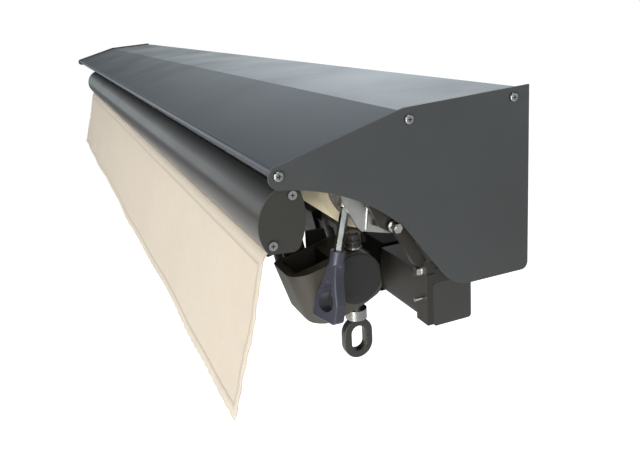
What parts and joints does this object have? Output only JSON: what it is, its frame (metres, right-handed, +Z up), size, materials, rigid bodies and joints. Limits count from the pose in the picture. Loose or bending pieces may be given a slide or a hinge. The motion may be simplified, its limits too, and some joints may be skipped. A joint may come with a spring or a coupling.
{
  "type": "retractable awning",
  "caption": "Folding-arm awning on a square wall bar: sheet roof, cloth roller with crank gear, folded spring arms, and a front bar with a hanging canvas valance.",
  "frame": {"origin": "middle of the four wall bolts, on the wall's face, level with the square bar's middle", "axes": "+X along the wall towards the crank end, +Y into the wall, +Z up"},
  "size_m": [2.0049, 0.2862, 0.2542],
  "materials": {
    "bar_coat": "powder coat",
    "end_plastic": "satin",
    "brown_casting": "powder coat",
    "grey_casting": "powder coat",
    "anthracite_coat": "powder coat",
    "zinc": "galvanised",
    "bright_steel": "zinc plated",
    "alloy": "as cast",
    "eye_plastic": "satin",
    "brass": "machined",
    "welt_plastic": "satin",
    "canvas": "woven"
  },
  "bodies": {
    "frame": {"torsion_bar": "bar_coat", "bar_end_caps": "end_plastic", "wall_bracket_right": "brown_casting", "wall_bracket_left": "brown_casting", "bar_clamps": "brown_casting", "clamp_bolts": "bright_steel", "roof_carriers": "zinc", "bar_screws": "bright_steel", "roof_panel": "anthracite_coat", "roof_plate_right": "anthracite_coat", "roof_plate_left": "anthracite_coat", "roof_screws": "bright_steel", "roller_support_right": "brown_casting", "roller_support_left": "brown_casting", "support_bolts": "bright_steel", "gearbox_housing": "alloy", "gear_plate": "zinc", "shoulder_support_right": "brown_casting", "shoulder_support_left": "brown_casting", "tilt_pins": "bright_steel"},
    "roller": {"roller_tube": "zinc", "drive_plug": "alloy", "worm_wheel": "brass", "idler_plug": "end_plastic", "wound_cloth": "canvas"},
    "crank": {"crank_shaft": "bright_steel", "crank_eye": "eye_plastic"},
    "front_bar": {"front_profile": "anthracite_coat", "front_end_caps": "anthracite_coat", "front_cap_screws": "bright_steel", "front_bracket_right": "grey_casting", "front_bracket_left": "grey_casting", "front_pins": "bright_steel", "valance": "canvas", "welt_rods": "welt_plastic"},
    "canopy": {"canopy": "canvas"},
    "right_bearing": {"arm_bearing_right": "grey_casting", "bearing_cover_right": "grey_casting", "shoulder_pin_right": "bright_steel"},
    "right_spindle": {"pitch_spindle_right": "bright_steel"},
    "right_upper_arm": {"upper_arm_right": "anthracite_coat", "shoulder_knuckle_right": "grey_casting", "elbow_fork_right": "grey_casting", "arm_spring_right": "bright_steel", "elbow_pin_right": "bright_steel"},
    "right_forearm": {"forearm_right": "anthracite_coat", "front_knuckle_right": "grey_casting", "elbow_tongue_right": "grey_casting"},
    "left_bearing": {"arm_bearing_left": "grey_casting", "bearing_cover_left": "grey_casting", "shoulder_pin_left": "bright_steel"},
    "left_spindle": {"pitch_spindle_left": "bright_steel"},
    "left_upper_arm": {"upper_arm_left": "anthracite_coat", "shoulder_knuckle_left": "grey_casting", "elbow_fork_left": "grey_casting", "arm_spring_left": "bright_steel", "elbow_pin_left": "bright_steel"},
    "left_forearm": {"forearm_left": "anthracite_coat", "front_knuckle_left": "grey_casting", "elbow_tongue_left": "grey_casting"}
  },
  "joints": [
    {"name": "right_tilt", "type": "hinge", "parent": "frame", "child": "right_bearing", "pos_m": [0.917, -0.1585, 0.014], "axis": [1, 0, 0], "range_deg": [0, 10]},
    {"name": "left_tilt", "type": "hinge", "parent": "frame", "child": "left_bearing", "pos_m": [-0.477, -0.1585, 0.014], "axis": [1, 0, 0], "range_deg": [0, 10]},
    {"name": "right_pitch_spin", "type": "hinge", "parent": "right_bearing", "child": "right_spindle", "pos_m": [0.945, -0.157, 0], "axis": [0, 0, 1], "range_deg": [0, 1080]},
    {"name": "left_pitch_spin", "type": "hinge", "parent": "left_bearing", "child": "left_spindle", "pos_m": [-0.505, -0.157, 0], "axis": [0, 0, 1], "range_deg": [0, 1080]},
    {"name": "right_shoulder", "type": "hinge", "parent": "right_bearing", "child": "right_upper_arm", "pos_m": [0.88, -0.14, 0.047], "axis": [0, -0.2079, 0.9781], "range_deg": [0, 60]},
    {"name": "right_elbow", "type": "hinge", "parent": "right_upper_arm", "child": "right_forearm", "pos_m": [0.25067, -0.16837, 0.04097], "axis": [0, -0.2079, 0.9781], "range_deg": [-120, 0]},
    {"name": "right_front", "type": "hinge", "parent": "right_forearm", "child": "front_bar", "pos_m": [0.88, -0.19673, 0.03494], "axis": [0, -0.2079, 0.9781], "range_deg": [0, 60]},
    {"name": "left_shoulder", "type": "hinge", "parent": "left_bearing", "child": "left_upper_arm", "pos_m": [-0.44, -0.14, 0.047], "axis": [0, -0.2079, 0.9781], "range_deg": [-60, 0]},
    {"name": "left_elbow", "type": "hinge", "parent": "left_upper_arm", "child": "left_forearm", "pos_m": [0.18933, -0.16837, 0.04097], "axis": [0, -0.2079, 0.9781], "range_deg": [0, 120]},
    {"name": "roller_spin", "type": "hinge", "parent": "frame", "child": "roller", "pos_m": [0.22, -0.15, 0.113], "axis": [1, 0, 0], "range_deg": [0, 1397.55]},
    {"name": "crank_spin", "type": "hinge", "parent": "frame", "child": "crank", "pos_m": [0.97, -0.17012, 0.11742], "axis": [0, -0.2147, -0.9767], "range_deg": [0, 22360.7]},
    {"name": "canopy_run", "type": "slide", "parent": "front_bar", "child": "canopy", "axis": [0, 0.9781, 0.2079], "range_m": [0, 1.06104], "deforming": ["canopy"]}
  ],
  "couplings": [
    {"joint": "left_tilt", "follows": "right_tilt", "ratio": 1},
    {"joint": "right_pitch_spin", "follows": "right_tilt", "ratio": 108},
    {"joint": "left_pitch_spin", "follows": "right_tilt", "ratio": 108},
    {"joint": "right_elbow", "follows": "right_shoulder", "ratio": -2},
    {"joint": "right_front", "follows": "right_shoulder", "ratio": 1},
    {"joint": "left_shoulder", "follows": "right_shoulder", "ratio": -1},
    {"joint": "left_elbow", "follows": "right_shoulder", "ratio": 2},
    {"joint": "roller_spin", "follows": "right_shoulder", "ratio": 23.292},
    {"joint": "crank_spin", "follows": "right_shoulder", "ratio": 372.68},
    {"joint": "canopy_run", "follows": "right_shoulder", "m_per_rad": 1.0132}
  ]
}
